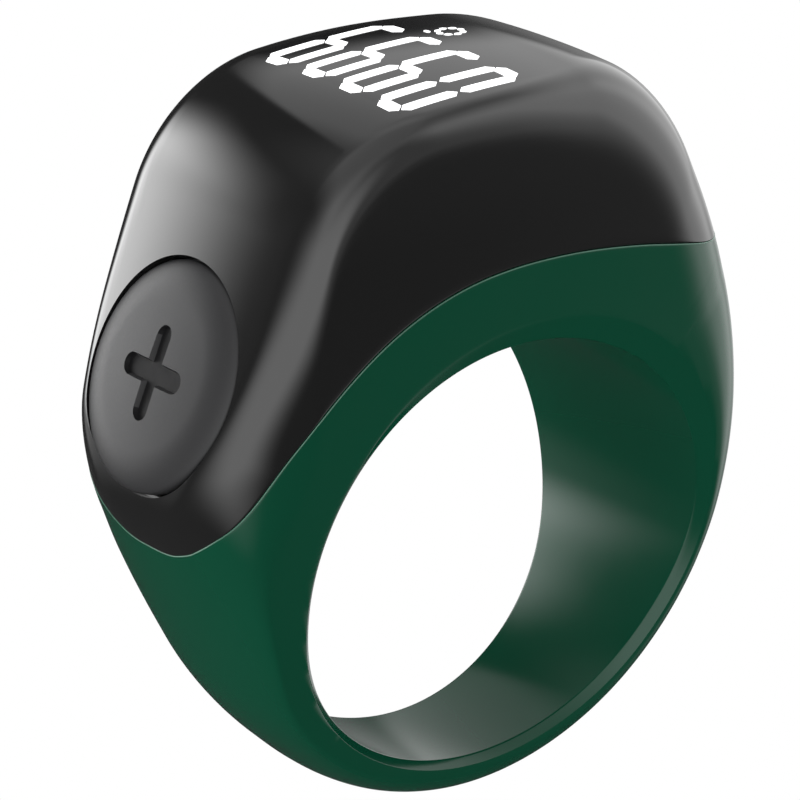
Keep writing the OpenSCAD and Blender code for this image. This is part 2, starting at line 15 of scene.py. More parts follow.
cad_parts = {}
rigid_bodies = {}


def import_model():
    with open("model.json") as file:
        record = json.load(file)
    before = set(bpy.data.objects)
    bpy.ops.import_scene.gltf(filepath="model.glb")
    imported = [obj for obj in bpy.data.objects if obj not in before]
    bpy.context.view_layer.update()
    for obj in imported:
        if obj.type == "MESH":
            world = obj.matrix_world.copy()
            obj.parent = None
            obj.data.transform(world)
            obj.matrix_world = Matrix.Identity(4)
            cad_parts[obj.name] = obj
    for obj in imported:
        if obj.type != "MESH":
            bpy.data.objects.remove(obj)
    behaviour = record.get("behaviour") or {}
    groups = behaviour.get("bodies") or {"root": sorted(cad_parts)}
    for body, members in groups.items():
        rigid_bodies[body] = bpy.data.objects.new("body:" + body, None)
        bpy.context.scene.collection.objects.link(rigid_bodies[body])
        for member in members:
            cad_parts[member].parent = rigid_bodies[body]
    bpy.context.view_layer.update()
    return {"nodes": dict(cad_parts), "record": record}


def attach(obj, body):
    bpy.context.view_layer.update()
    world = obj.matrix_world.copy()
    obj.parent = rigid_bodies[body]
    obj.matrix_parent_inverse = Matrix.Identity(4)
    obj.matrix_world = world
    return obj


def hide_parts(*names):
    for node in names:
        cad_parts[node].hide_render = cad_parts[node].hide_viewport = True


for leftover in list(bpy.data.objects):
    bpy.data.objects.remove(leftover)
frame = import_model()
MM = 0.001

# %% [markdown]
# ## The camera
# The photograph was taken from the front left, a little above, with a long lens: the near and the
# far edge of the finger hole hardly differ. The place and the lens below were found by matching
# the hole's two circles, the display's corners and the button's rim with the photograph.

# %% Set up the camera
camera_turn, camera_height, camera_roll = radians(-34.51), radians(20.56), radians(-2.26)
camera_distance = 242.11
picture_px, focal_px = 800, 5590.0
middle_px = (430.92, 518.99)


def in_scene(name, data):
    """A new object in the scene that shows this data."""
    item = bpy.data.objects.new(name, data)
    bpy.context.scene.collection.objects.link(item)
    return item


back = Vector((
    sin(camera_turn) * cos(camera_height), -cos(camera_turn) * cos(camera_height),
    sin(camera_height),
))
level = Vector((cos(camera_turn), sin(camera_turn), 0))
right = level * cos(camera_roll) + back.cross(level) * sin(camera_roll)
up = back.cross(right)
aside = [(px - picture_px / 2) * camera_distance / focal_px for px in middle_px]
place = (back * camera_distance - right * aside[0] + up * aside[1]) * MM

lens = bpy.data.cameras.new("lens")
lens.sensor_width = 36
lens.lens = focal_px / picture_px * lens.sensor_width
lens.clip_start, lens.clip_end = 0.01, 10
camera = in_scene("camera", lens)
camera.matrix_world = Matrix.Translation(place) @ Matrix((right, up, back)).transposed().to_4x4()
bpy.context.scene.camera = camera
print("camera at", [round(v, 4) for v in place], "lens", round(lens.lens, 1), "mm")

# %% [markdown]
# ## The rule of the ring's form
# Nearly the whole outside is one form, which a mould maker would loft: a section runs once round
# the finger and changes slowly on its way. Tables say how. Seen along the finger, the outline is a
# chain of flat faces with a round between each two, and the lowest of them are only points on the
# band's own arc. Across it, a half width for each height and a corner round for each angle give
# the section. A surface sculpted by hand would never shine as evenly, and on black gloss the eye
# sees every dent.

# %% Sizes of the form, in millimetres and degrees
bore_r, band_wall = 10.0, 2.05
band_r = bore_r + band_wall
# The form is drawn in by this much, so that the dressed ring stays within the solids' box
skin = 0.03
top_d, left_d, right_d = bore_r + 11.2, bore_r + 6.45, bore_r + 5.9
left_lean, right_lean, crown_tilt, left_skirt, right_skirt = 25.3, 22, 3.5, 22, 15.7
# Under the button the skirt swells out from the round band by this much, up to this angle
skirt_swell, skirt_end = 0.31, 225
# The largest round that fits between the band's own arc and a face
chin_limit = lambda a, d: (d - band_r * cos(radians(a))) / (1 - cos(radians(a)))
# Each face round the outline: angle of its normal, distance from the axis, round to the next
outline_faces = [
    (right_lean, right_d, 6.5), (90 - crown_tilt, top_d, 60), (90 + crown_tilt, top_d, 7.8),
    (180 - left_lean, left_d, 7), (180 + left_skirt, band_r + skirt_swell, band_r),
    (skirt_end, band_r, band_r),
    (360 - right_skirt, band_r, min(28, chin_limit(right_skirt + right_lean, right_d))),
]
# Half of the ring's width at each height over the finger hole's middle
half_widths = [(-band_r, 3), (-band_r / 2, 4.3), (0, 5.9), (band_r / 2, 6.95), (band_r, 7.5),
               (top_d, 7.15)]
side_taper, side_crown = tan(radians(1.2)), 0.35
# Corner round of the section at each angle: its width and its height, in walls of the band, and
# how slowly it leaves the side. At 2 it is an ellipse, and from 3 up the side's own curve begins
# so gently that its gloss shows no line.
corner_table = [(0, 1.62, 0.65, 2), (30, 2.1, 1.75, 2.8), (60, 2.25, 2.45, 3.4),
                (90, 0.7, 1.05, 3.2), (120, 0.82, 0.82, 2.5), (150, 1.14, 1.84, 2),
                (178, 3.15, 0.5, 2.7), (215, 2.1, 0.32, 4), (270, 0.8, 0.62, 2.4)]
corner_rows = [(a + 360 * k, w * band_wall, h * band_wall, ease) for k in (-1, 0, 1)
               for a, w, h, ease in corner_table]
# Width of the chamfer round the finger hole at each angle, and its depth along the hole
chamfer_table = [(0, 0.53), (26, 1.0), (40, 1.22), (54, 1.24), (72, 1.1), (94, 0.88), (117, 0.66),
                 (132, 0.52), (146, 0.36), (200, 0.34), (250, 0.34), (293, 0.34), (315, 0.39),
                 (344, 0.42)]
chamfer_rows = [(a + 360 * k, w) for k in (-1, 0, 1) for a, w in chamfer_table]
chamfer_h = 0.36
# The parting line between band and head: its radius at each angle, as a share of seam_r. Past
# both its tips it runs outside the ring.
seam_r, seam_gap = bore_r + 3.45, 0.012
seam_table = [(36, 1.4), (42.5, 1.31), (50, 1.19), (57, 1.126), (65, 1.077), (73, 1.043),
              (82, 1.02), (91, 1.01), (102, 1.008), (118, 1.008), (131, 1.01), (140, 1.019),
              (148, 1.036), (155, 1.057), (160, 1.078), (163.5, 1.093), (166, 1.094),
              (168.5, 1.0857), (170.4, 1.079), (172, 1.09), (176, 1.3)]
print(len(outline_faces), "faces,", len(corner_table), "corners,", len(seam_table), "seam places")

# %% [markdown]
# ## Soft curves through the tables
# Each table has only a few rows, measured in the photograph. A cubic curve through them has no
# kink at any row, and a kink is what gloss would show first.

# %% Read a table at any place


def smooth(rows, at, column=1):
    """A soft curve through the rows of a table, read at some places."""
    rows = np.asarray(rows, float)
    x, y = rows[:, 0], rows[:, column]
    lo, hi = np.maximum(np.arange(len(x)) - 1, 0), np.minimum(np.arange(len(x)) + 1, len(x) - 1)
    lean = (y[hi] - y[lo]) / (x[hi] - x[lo])
    i = np.clip(np.searchsorted(x, at, side="right") - 1, 0, len(x) - 2)
    span = x[i + 1] - x[i]
    u = np.clip((at - x[i]) / span, 0, 1)
    return (y[i] * (1 + 2 * u) * (1 - u) ** 2 + lean[i] * span * u * (1 - u) ** 2
            + y[i + 1] * u * u * (3 - 2 * u) - lean[i + 1] * span * u * u * (1 - u))


print("over the finger the ring is", round(2 * float(smooth(half_widths, band_r)), 2), "mm wide")

# %% Draw the outline
rim_step = 0.1


def outline(inset, turn_step=0.5):
    """The outline seen along the finger, drawn in by inset."""
    points = []
    for (a, d, r), (b, e, _) in zip(outline_faces, outline_faces[1:] + outline_faces[:1]):
        b += 360 if b < a else 0
        count = max(2, int((b - a) / turn_step) + 1)
        a, b, d, e, r = radians(a), radians(b), d - inset, e - inset, r - inset
        middle = (((d - r) * sin(b) - (e - r) * sin(a)) / sin(b - a),
                  ((e - r) * cos(a) - (d - r) * cos(b)) / sin(b - a))
        points += [(middle[0] + r * cos(t), middle[1] + r * sin(t))
                   for t in np.linspace(a, b, count)]
    return np.array(points)


rim = outline(skin)
rim = np.concatenate([
    a + (b - a) * np.linspace(0, 1, max(2, int(np.hypot(*(b - a)) / rim_step)))[:-1, None]
    for a, b in zip(rim, np.roll(rim, -1, 0))])
rim_angle, rim_radius = np.degrees(np.arctan2(rim[:, 1], rim[:, 0])) % 360, np.hypot(*rim.T)
outer_r = lambda t: np.interp(np.asarray(t) % 360, rim_angle, rim_radius, period=360)
parting_r = lambda t: seam_r * smooth(seam_table, t)
half_width = lambda r, t: (smooth(half_widths, r * np.sin(np.radians(t)))
                           + r * np.cos(np.radians(t)) * side_taper - skin)
print("the ring stands", round(rim[:, 1].max() - rim[:, 1].min(), 2), "mm high")

# %% [markdown]
# ## Half a section
# A section is drawn on one side only, from the middle of the outside, over the corner, down the
# side and over the chamfer to the finger hole. Its two edges at the chamfer get a tiny round,
# because no moulded edge is knife sharp, and that catches a line of light.

# %% Round a small edge
# It may use this share of the lines beside it
line_share = 0.45


def eased(a, corner, b, size, count=4):
    """A corner between two points, rounded over a short way on both sides."""
    a, corner, b = (np.asarray(p, float) for p in (a, corner, b))
    reach = lambda p: min(line_share, size / max(1e-9, np.hypot(*(p - corner))))
    start, end = (corner + (p - corner) * reach(p) for p in (a, b))
    u = np.linspace(0, 1, count + 1)[:, None]
    return (1 - u) ** 2 * start + 2 * u * (1 - u) * corner + u * u * end


print("a square corner, eased:", eased((1, 0), (0, 0), (0, 1), 0.1, 2).round(3).tolist())

# %% Draw half a section at an angle
side_edge, hole_edge = 0.12, 0.08
# The corner may use this share of its room
room_share = 0.9
# Points over the top, round the corner, where they crowd towards the side, and down the side
top_steps, corner_steps, corner_crowd, side_steps = 20, 60, 1.5, 30


def half_section(t):
    """Points (radius, y) from the middle of the outside to the finger hole's wall."""
    ro = float(outer_r(t))
    cw = float(smooth(chamfer_rows, t))
    w = float(half_width(ro, t))
    corner_w = min(smooth(corner_rows, t, 1), room_share * w)
    corner_h = min(smooth(corner_rows, t, 2), room_share * (ro - bore_r - cw) - side_crown)
    y = np.linspace(0, w - corner_w, top_steps)[:-1]
    top = np.stack([ro - side_crown * (y / w) ** 2, y], 1)
    a = pi / 2 * np.linspace(1, 0, corner_steps) ** corner_crowd
    fall = corner_h * (1 - np.sin(a) ** (2 / float(smooth(corner_rows, t, 3))))
    draw = corner_w * (1 - np.cos(a))
    r = ro - fall - side_crown * ((half_width(ro - fall, t) - draw) / w) ** 2
    corner = np.stack([r, half_width(r, t) - draw], 1)
    r = np.linspace(r[-1], bore_r + cw, side_steps)[1:-1]
    side = np.stack([r, half_width(r, t)], 1)
    edge = float(half_width(bore_r + cw, t))
    inner = (bore_r, edge - chamfer_h)
    return np.concatenate([
        top, corner, side,
        eased(side[-1], (bore_r + cw, edge), inner, side_edge),
        eased((bore_r + cw, edge), inner, (bore_r, 0), hole_edge),
    ])


section = half_section(90)
print("the wall over the finger is", round(section[0, 0] - bore_r, 2), "mm high and",
      round(2 * section[:, 1].max(), 2), "mm wide")

# %% [markdown]
# ## Points where it bends
# Sections are joined point by point, so all need equally many. Each line is spread anew over a
# fixed number of points, with more of them where it bends.

# %% Spread points along a line
# This much length weighs as much as this much bend
stride, bend = 0.4, radians(6)


def spread(points, start, end, count):
    """count points along a line between two places in it, closer together where it bends."""
    step = np.diff(points, axis=0)
    length = np.hypot(*step.T)
    lean = np.unwrap(np.arctan2(step[:, 1], step[:, 0]))
    turn = np.abs(np.diff(lean, prepend=lean[0]))
    way = np.concatenate([[0], np.cumsum(length / stride + turn / bend)])
    along = np.interp([start, end], np.arange(len(points)), way)
    at = np.interp(np.linspace(*along, count), way, np.arange(len(points)))
    return np.stack([np.interp(at, np.arange(len(points)), points[:, k]) for k in (0, 1)], 1)


def cut_place(points, radius):
    """How far along the half section it crosses a radius, as a place in its list."""
    return float(np.interp(-radius, -points[:, 0], np.arange(len(points))))


print("the parting line crosses it at point", round(cut_place(section, float(parting_r(90)))),
      "of", len(section))

# %% [markdown]
# ## Two mouldings along one parting line
# The real ring is two mouldings that meet along a curved line. Cutting a finished mesh there would
# leave ragged triangles that show as scratches in the gloss. Instead each section ends exactly at
# the line, and gets its small edge round there, so both pieces are clean strips of quads.

# %% Join sections into a piece


def mesh_piece(name, points, faces):
    """A new object at the origin from points in millimetres; points in one place are one."""
    points = np.asarray(points, float)
    _, first, same = np.unique(
        np.round(points, 5), axis=0, return_index=True, return_inverse=True)
    same = same.reshape(-1)
    clean = []
    for face in faces:
        ring = [int(same[i]) for i in face]
        ring = [v for k, v in enumerate(ring) if v != ring[k - 1]]
        if len(set(ring)) == len(ring) > 2:
            clean.append(ring)
    mesh = bpy.data.meshes.new(name)
    mesh.from_pydata(points[first] * MM, [], clean)
    mesh.validate()
    return in_scene(name, mesh)


def around(t, r, y):
    """A section's point in the ring, from its angle, radius and y."""
    return r * cos(radians(t)), y, r * sin(radians(t))


def loft(name, angles, loops, closed):
    """Joins the sections, each a closed loop of (radius, y), into one skin."""
    count = len(loops[0])
    points = [around(t, r, y) for t, loop in zip(angles, loops) for r, y in loop]
    faces = [
        (i * count + j, i * count + (j + 1) % count,
         (i + 1) % len(loops) * count + (j + 1) % count, (i + 1) % len(loops) * count + j)
        for i in range(len(loops) if closed else len(loops) - 1) for j in range(count)
    ]
    return mesh_piece(name, points, faces)


print("angle 90 points along", [round(v, 3) for v in around(90, 1, 0)])

# %% Place the stations
# They stand this far apart along the outline, and crowd over these degrees at each tip
station_step, tip_steps, tip_reach = 0.28, 14, 3


def with_tips(first, last, inside):
    """Stations between two tips, crowding towards each tip."""
    tip = (np.arange(1, tip_steps) / tip_steps) ** 2 * tip_reach
    kept = inside[(inside > first + tip_reach) & (inside < last - tip_reach)]
    return np.concatenate([[first], first + tip, kept, (last - tip)[::-1], [last]])


way = np.concatenate([[0], np.cumsum(np.hypot(*np.diff(rim, axis=0).T) / station_step)])
stations = np.sort(np.interp(np.arange(0, way[-1]), way, np.unwrap(rim_angle, period=360)) % 360)
# Both tips of the parting line are sought between these angles
dense = np.linspace(38, 176, 4000)
head = dense[parting_r(dense) + seam_gap < outer_r(dense)]
band_top = dense[parting_r(dense) < outer_r(dense)]
print(len(stations), "stations; the head spans", head[[0, -1]].round(1), "degrees")

# %% Loft the shell
edge_round, edge_steps, shell_steps = 0.13, 5, 44
shell_angles = with_tips(head[0], head[-1], stations)
shell_loops = []
for t in shell_angles:
    line, radius = half_section(t), float(parting_r(t)) + seam_gap
    cut_at = cut_place(line, radius) if t not in (head[0], head[-1]) else 0
    outer = spread(line, 0, cut_at, shell_steps)
    foot = eased(outer[-2], outer[-1], (outer[-1][0], 0), edge_round, edge_steps)
    half = np.concatenate([outer[:-1], foot])
    if not cut_at:
        half = np.repeat(line[:1], len(half), 0)
    shell_loops.append(np.concatenate([half[::-1] * (1, -1), half[1:]]))
shell = loft("shell", shell_angles, shell_loops, False)
print(shell.name, "has", len(shell.data.polygons), "faces")

# %% [markdown]
# ## The band under the line
# The band runs all the way round, so its loft is closed. Over the finger its sections start at the
# parting line, and the middle of the small round there is kept for the lip's bead, whose pale green
# is a painted highlight.

# %% Loft the band
band_steps, tip_clear = 46, 0.2
seam_stations = with_tips(band_top[0], band_top[-1], stations)
rest = stations[(stations < band_top[0] - tip_clear) | (stations > band_top[-1] + tip_clear)]
band_angles = np.sort(np.concatenate([seam_stations, rest]))
band_loops, lip = [], []
for t in band_angles:
    line = half_section(t)
    cut_at = cut_place(line, float(parting_r(t))) if band_top[0] < t < band_top[-1] else 0
    side = spread(line, cut_at, len(line) - 1, band_steps)
    top = eased((side[0][0], 0), side[0], side[1], edge_round, edge_steps)
    half = np.concatenate([[(side[0][0], 0)], top, side[1:]])
    band_loops.append(np.concatenate([half[::-1] * (1, -1), half[1:]]))
    if cut_at:
        lip.append((t, *top[len(top) // 2]))
band = loft("band", band_angles, band_loops, True)
print(band.name, "has", len(band.data.polygons), "faces")

# %% [markdown]
# ## Hollowing the two mouldings
# Inside, both mouldings are thin walls round the cell, the board and the display, with posts,
# saddles and a seat to carry them. None of this shows in the picture, but a ring cut open should be
# right, so the same room is cut out of both with boolean tools. The tools reach only inner faces,
# apart from the round well for the button, so the glossy skin keeps its clean strips.

# %% Sizes of the room, the button's well and its seal's seat
shell_wall, cradle_r, room_half_w, pocket_half_w = 1.3, bore_r + 1.2, 5.7, 4.3
left_pocket_z, right_pocket_z = 3.4, 7.4
button_r, button_gap, button_shift = 4.95, 0.12, 3.26
rim_z, cap_t = 0.1, 0.95
under_z = rim_z - cap_t
well_z, web_z, well_top = under_z - 0.35, under_z - 1.1, 4
stem_r, seal_r, boss_wall = 1.5, 2.15, 0.7
# Tools reach this far along and across the ring, and this far into their neighbours
far, wide, overlap = 30, 8, 0.2
face_turn = radians(left_lean - 90)
print("the room is", 2 * room_half_w, "mm wide, the button", 2 * button_r, "mm")

# %% Shapes to cut with


def at_button(points):
    """Points in the button's frame, Z out along its axis and X up the face, put in the ring's."""
    x, y, z = np.asarray(points, float).T
    x, z = x + button_shift, z + left_d
    return np.stack([x * cos(face_turn) + z * sin(face_turn), y,
                     z * cos(face_turn) - x * sin(face_turn)], 1)


def prism(name, flat, low, high, turn_in=lambda p: p):
    """A closed prism over a flat outline of (x, y) points between two heights."""
    n = len(flat)
    points = np.array([(x, y, z) for z in (low, high) for x, y in flat])
    faces = [tuple(range(n))[::-1], tuple(range(n, 2 * n))]
    faces += [(i, (i + 1) % n, n + (i + 1) % n, n + i) for i in range(n)]
    return mesh_piece(name, turn_in(points), faces)


def disc(radius, x=0, y=0, count=128):
    """The outline of a round, as (x, y) points."""
    a = np.arange(count) / count * 2 * pi
    return np.stack([x + radius * np.cos(a), y + radius * np.sin(a)], 1)


# Turns a prism to lie along the finger; then the outline of a block
across = lambda p: p[:, (0, 2, 1)] * (1, -1, 1)
block = lambda x0, x1, z0, z1: [(x0, z0), (x1, z0), (x1, z1), (x0, z1)]
# A round rod along the finger, longer than the ring is wide
rod = lambda name, radius, x=0, z=0: prism(name, disc(radius, x, z), -wide - 1, wide + 1, across)


print("the button's face has its middle at", at_button([(0, 0, 0)])[0].round(2))

# %% Cut the shell


def settle(piece):
    """Keeps what its modifier makes of a piece as its plain mesh."""
    result = bpy.data.meshes.new_from_object(
        piece.evaluated_get(bpy.context.evaluated_depsgraph_get()))
    piece.modifiers.clear()
    piece.data = result


def carve(piece, operation, *tools):
    """Cuts, joins or crosses a piece with some tools, and removes them."""
    for tool in tools:
        step = piece.modifiers.new("cut", "BOOLEAN")
        step.operation, step.object, step.solver = operation, tool, "MANIFOLD"
        settle(piece)
        bpy.data.objects.remove(tool)
    return piece


def room():
    """The room in the head over the cradle, and the two pockets beside the bore."""
    inner = outline(shell_wall, 2)
    ceiling = lambda half_w: prism("ceiling", inner, -half_w, half_w, across)
    box = lambda *sides: prism("box", block(*sides), -wide, wide, across)
    hall = carve(ceiling(room_half_w), "INTERSECT", box(-far, far, cradle_r, far))
    pockets = carve(box(-far, 0, left_pocket_z, cradle_r + overlap), "UNION",
                    box(-overlap, far, right_pocket_z, cradle_r + overlap))
    pockets = carve(carve(ceiling(pocket_half_w), "INTERSECT", pockets), "DIFFERENCE",
                    rod("cradle", cradle_r))
    return carve(hall, "UNION", pockets)


boss = prism("boss", disc(button_r + boss_wall), web_z, 0, at_button)
carve(shell, "DIFFERENCE", carve(room(), "DIFFERENCE", boss),
      prism("well", disc(button_r + button_gap, count=256), well_z, well_top, at_button),
      prism("seat", disc(seal_r), web_z - overlap, well_z + overlap, at_button))
print(shell.name, "has", len(shell.data.polygons), "faces after the cuts")

# %% [markdown]
# ## Seats in the band
# A real housing carries its insides on posts and ribs moulded with it. Here each is a prism joined
# to the hollowed band, so all of it is one closed moulding again.

# %% Hollow the band and give it its seats
post_r, post_x, post_y, post_top = 0.6, 5.85, 4.95, 14.85
switch_seat, switch_low, switch_high = block(-2.5, 2.5, -2, 2), -6.35, -4.75
contact_r, contact_y = 0.8, 2.6
motor_r, motor_gap, motor_turn, motor_way, motor_y = 2, 0.05, 50, cradle_r + 2.25, -4.05
saddle_turn, saddle_t, saddle_drop, saddle_places = 12, 0.8, 0.4, (0.25, 4.15)
motor_x, motor_z = motor_way * cos(radians(motor_turn)), motor_way * sin(radians(motor_turn))
saddle = [(0, 0)] + [(r * cos(radians(a)), r * sin(radians(a)))
                     for r, a in ((motor_way, motor_turn - saddle_turn),
                                  (motor_way * 2, motor_turn),
                                  (motor_way, motor_turn + saddle_turn))]
inside = [prism("post", disc(post_r, x, y, 32), cradle_r - overlap, post_top)
          for x in (-post_x, post_x) for y in (-post_y, post_y)]
inside.append(prism("seat", switch_seat, switch_low, switch_high, at_button))
for y in [motor_y + way_y for way_y in saddle_places]:
    rib = prism("rib", saddle, -y - saddle_t, -y, across)
    carve(rib, "INTERSECT", rod("reach", motor_way - saddle_drop))
    inside.append(carve(rib, "DIFFERENCE", rod("motor", motor_r + motor_gap, motor_x, motor_z),
                        rod("bore", bore_r + overlap)))
carve(band, "DIFFERENCE", room())
carve(band, "UNION", *inside)
carve(band, "DIFFERENCE", *[
    prism("contact", disc(contact_r, 0, y, 48), bore_r - overlap, cradle_r + overlap)
    for y in (-contact_y, contact_y)])
print(band.name, "has", len(band.data.polygons), "faces after the cuts")

# %% [markdown]
# ## A node at a time
# The patterns, and the shapes that follow a rule, are node trees. One small function adds, sets
# and links a node. Colours are given as they look on a screen, and a second function makes them
# linear for the nodes.

# %% A helper for nodes and one for colours


def add(tree, kind, inputs={}, **settings):
    """Adds one node with its settings. inputs: socket name or place -> a value, an output
    socket, or a node, which stands for its first output."""
    node = tree.nodes.new(kind)
    for name, value in settings.items():
        setattr(node, name, value)
    for key, value in inputs.items():
        if isinstance(value, bpy.types.Node):
            value = value.outputs[0]
        if isinstance(value, bpy.types.NodeSocket):
            tree.links.new(value, node.inputs[key])
        else:
            node.inputs[key].default_value = value
    return node


def hex_colour(text):
    """An sRGB hex value as the linear colour that the nodes work in."""
    values = [int(text[i:i + 2], 16) / 255 for i in (1, 3, 5)]
    return [v / 12.92 if v <= 0.04045 else ((v + 0.055) / 1.055) ** 2.4 for v in values] + [1]


print("black skin as linear:", [round(v, 4) for v in hex_colour("#1a1a1a")[:3]])

# %% [markdown]
# ## The finish of plain parts
# Nearly every finish here is a colour, a gloss and often a fine relief that vary a little over the
# part. One noise drives them all, at the size of the real grain or as coarse as it needs to show,
# through ramps whose ends are the finish's own values. What is the same all over stays on the
# shader's own sockets.

# %% A finish from its real values


def finish(name, colour, second, rough, grain_mm, relief_mm=0.002, stretch=(1, 1, 1), **sockets):
    """A material: two hex colours, two roughnesses, the grain's size and its relief in mm."""
    material = bpy.data.materials.new(name)
    material.use_nodes = True
    tree = material.node_tree
    shader = tree.nodes["Principled BSDF"]
    place = add(tree, "ShaderNodeTexCoord").outputs["Object"]
    drawn = add(tree, "ShaderNodeMapping", {"Vector": place, "Scale": stretch})
    grain = add(tree, "ShaderNodeTexNoise", {
        "Vector": drawn.outputs[0], "Scale": 1 / (grain_mm * MM), "Detail": 3, "Roughness": 0.6})
    tint = add(tree, "ShaderNodeMix", {
        0: grain.outputs[0], 6: hex_colour(colour), 7: hex_colour(second)}, data_type="RGBA")
    gloss = add(tree, "ShaderNodeMapRange", {
        "Value": grain.outputs[0], "From Min": 0.3, "From Max": 0.7, "To Min": rough[0],
        "To Max": rough[1]})
    if relief_mm:
        bump = add(tree, "ShaderNodeBump", {
            "Height": grain.outputs[0], "Strength": 1, "Distance": relief_mm * MM})
        tree.links.new(bump.outputs[0], shader.inputs["Normal"])
    tree.links.new(tint.outputs[2], shader.inputs["Base Color"])
    tree.links.new(gloss.outputs[0], shader.inputs["Roughness"])
    for key, value in sockets.items():
        shader.inputs[key.replace("_", " ")].default_value = value
    return material


# %% [markdown]
# ## Green ABS, satin moulded
# The band is through-dyed ABS from a finely eroded mould. That gives a deep, even green and a soft,
# wide highlight. The grain, a few hundredths of a millimetre wide, is too fine to show. So the
# noise is drawn coarse, at 3 mm, as the slow unevenness of a moulded skin, and without relief.

# %% The band's finish
green_abs = finish("abs_green_satin_moulded", "#09402d", "#083f2c", (0.12, 0.15), 3, 0.0,
                   IOR=1.5, Specular_IOR_Level=0.28)
print(green_abs.name)

# %% [markdown]
# ## Trees that make shapes
# A shape that follows a rule is a Geometry Nodes tree with a named input for each size. Its result
# is kept as a plain mesh, which is the same wherever it is opened.

# %% Start, end and run a tree


def new_tree(name, **sizes):
    """A Geometry Nodes tree with these named inputs, and its input sockets."""
    tree = bpy.data.node_groups.new(name, "GeometryNodeTree")
    tree.interface.new_socket("Mesh", in_out="INPUT", socket_type="NodeSocketGeometry")
    for label, value in sizes.items():
        kind = {int: "Int", float: "Float"}.get(type(value), value)
        socket = tree.interface.new_socket(
            label.replace("_", " "), in_out="INPUT", socket_type="NodeSocket" + kind)
        if kind != value:
            socket.default_value = value
    tree.interface.new_socket("Mesh", in_out="OUTPUT", socket_type="NodeSocketGeometry")
    return tree, add(tree, "NodeGroupInput").outputs


def end_tree(tree, geometry, material):
    """Ends a tree: its geometry made real, given its material and sent out."""
    whole = add(tree, "GeometryNodeRealizeInstances", {0: geometry})
    dressed = add(tree, "GeometryNodeSetMaterial", {0: whole.outputs[0], "Material": material})
    add(tree, "NodeGroupOutput", {0: dressed.outputs[0]})


def paint(piece, *materials):
    """Gives a piece these materials and no others."""
    piece.data.materials.clear()
    for material in materials:
        piece.data.materials.append(material)


def grow(piece, tree, material, **values):
    """Runs a tree on a piece and keeps the result as a plain mesh."""
    step = piece.modifiers.new(tree.name, "NODES")
    step.node_group = tree
    for item in tree.interface.items_tree:
        label = item.name.replace(" ", "_")
        if item.in_out == "INPUT" and label in values:
            step[item.identifier] = values[label]
    piece.update_tag()
    settle(piece)
    paint(piece, material)


def wire_piece(name, points, edges=()):
    """A new object from points in millimetres and edges, for a tree to work on."""
    mesh = bpy.data.meshes.new(name)
    mesh.from_pydata(np.asarray(points, float) * MM, list(edges), [])
    return in_scene(name, mesh)


# %% [markdown]
# ## The band's lip and its painted highlight
# All along the parting line runs a fine pale line on the green: the lip of the band, where the
# tool shut. It is a hair wide, so it is laid as a bead of its own along the path that the loft has
# kept, and the bead's pale green is a painted highlight. A bevel so fine on the band itself would
# need a far denser mesh.

# %% Lay the bead along the lip
bead_r, bead_sides = 0.03 * MM, 8
# Pale green on the bead: a painted highlight along the lip
lip_painted_highlight_green = finish("abs_green_buffed_lip", "#426d5b", "#3d6655", (0.3, 0.35), 1, 0.0)
path = [around(t, r, -y) for t, r, y in lip] + [around(*point) for point in lip[::-1]]
bead = wire_piece("lip_bead", path, [(i, (i + 1) % len(path)) for i in range(len(path))])
beading, start = new_tree("bead along a path", Bead_radius=bead_r, Sides=bead_sides)
ring_curve = add(beading, "GeometryNodeMeshToCurve", {0: start["Mesh"]})
round_line = add(beading, "GeometryNodeCurvePrimitiveCircle", {
    "Resolution": start["Sides"], "Radius": start["Bead radius"]})
tube = add(beading, "GeometryNodeCurveToMesh", {
    "Curve": ring_curve.outputs[0], "Profile Curve": round_line.outputs[0]})
end_tree(beading, tube.outputs[0], lip_painted_highlight_green)
grow(bead, beading, lip_painted_highlight_green, Bead_radius=bead_r, Sides=bead_sides)
print("the bead has", len(bead.data.polygons), "faces")

# %% [markdown]
# ## Black polycarbonate, polished
# The head is one clear-grade polycarbonate moulding, dyed nearly black and polished, so that the
# display shines through it. Dyed that deep it has hardly any colour of its own, and what the eye
# reads is reflection. The noise is the faint waviness that polishing leaves, a millimetre or two
# wide. Over the display the skin is a shade darker still.

# %% The head's finish
# The darker shade ends at these distances from the middle, and lies on the top skin alone
shade_half, shade_fade, shade_from_z = (4.62, 5.46), 0.04, 19.8
black_skin = finish("polycarbonate_black_polished", "#1b1b1b", "#1a1a1a", (0.05, 0.07), 1.6, 0.0001,
                    IOR=1.5)
tree = black_skin.node_tree
shade_socket = tree.nodes["Principled BSDF"].inputs["Base Color"]
spot = add(tree, "ShaderNodeSeparateXYZ", {
    0: add(tree, "ShaderNodeTexCoord").outputs["Object"]}).outputs
over_display = add(tree, "ShaderNodeMath", {0: spot[2], 1: shade_from_z * MM},
                   operation="GREATER_THAN")
for axis, half in enumerate(shade_half):
    distance = add(tree, "ShaderNodeMath", {0: spot[axis]}, operation="ABSOLUTE")
    within = add(tree, "ShaderNodeMapRange", {
        "Value": distance, "From Min": (half - shade_fade) * MM,
        "From Max": (half + shade_fade) * MM, "To Min": 1, "To Max": 0})
    over_display = add(tree, "ShaderNodeMath", {0: over_display, 1: within},
                       operation="MULTIPLY")
shaded = add(tree, "ShaderNodeMix", {
    0: over_display, 6: shade_socket.links[0].from_socket, 7: hex_colour("#0e0e0f")},
    data_type="RGBA")
tree.links.new(shaded.outputs[2], shade_socket)
print(black_skin.name)
